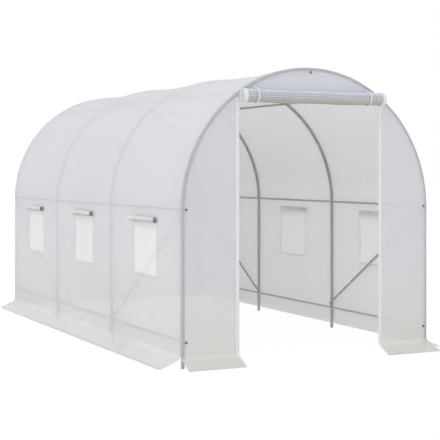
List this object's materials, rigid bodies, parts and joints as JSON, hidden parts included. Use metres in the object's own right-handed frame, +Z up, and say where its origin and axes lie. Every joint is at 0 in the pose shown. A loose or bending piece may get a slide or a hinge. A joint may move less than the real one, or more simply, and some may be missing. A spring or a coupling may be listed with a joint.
{
  "type": "polytunnel greenhouse",
  "caption": "Walk-in tunnel greenhouse: hooped tube frame under a pale translucent sheet, with roll-up door, mesh windows with rolled flaps, and ground skirts.",
  "frame": {"origin": "on the ground at the middle of the plan, under the ridge", "axes": "+Z up, Y along the tunnel with the doorway facing -Y, X across it"},
  "size_m": [2.316, 4.25, 2.066],
  "materials": {
    "cover": "translucent reinforced sheet",
    "rolled_sheet": "reinforced sheet rolled up",
    "screen": "fine white insect mesh",
    "white_tape": "woven white tape",
    "frame_tube": "galvanised, dull grey",
    "end_cap": "moulded dark plastic"
  },
  "bodies": {
    "root": {"back_panel": "cover", "back_skirt": "cover", "door_roll": "rolled_sheet", "door_ties": "white_tape", "door_zips": "white_tape", "front_hoop_arch": "frame_tube", "front_hoop_left_leg": "frame_tube", "front_hoop_right_leg": "frame_tube", "front_left_panel": "cover", "front_left_skirt": "cover", "front_right_panel": "cover", "front_right_skirt": "cover", "front_top_panel": "cover", "left_braces": "frame_tube", "left_lower_purlin": "frame_tube", "left_roof_purlin": "frame_tube", "left_skirt": "cover", "left_upper_purlin": "frame_tube", "left_wall_cover": "cover", "left_window_rolls": "rolled_sheet", "left_window_screens": "screen", "rear_hoop_arch": "frame_tube", "rear_hoop_left_leg": "frame_tube", "rear_hoop_right_leg": "frame_tube", "ridge_purlin": "frame_tube", "right_braces": "frame_tube", "right_lower_purlin": "frame_tube", "right_roof_purlin": "frame_tube", "right_skirt": "cover", "right_upper_purlin": "frame_tube", "right_wall_cover": "cover", "right_window_rolls": "rolled_sheet", "right_window_screens": "screen", "roof_cover_left_crown": "cover", "roof_cover_left_eave": "cover", "roof_cover_left_haunch": "cover", "roof_cover_right_crown": "cover", "roof_cover_right_eave": "cover", "roof_cover_right_haunch": "cover", "second_hoop_arch": "frame_tube", "second_hoop_left_leg": "frame_tube", "second_hoop_right_leg": "frame_tube", "third_hoop_arch": "frame_tube", "third_hoop_left_leg": "frame_tube", "third_hoop_right_leg": "frame_tube"}
  },
  "joints": []
}
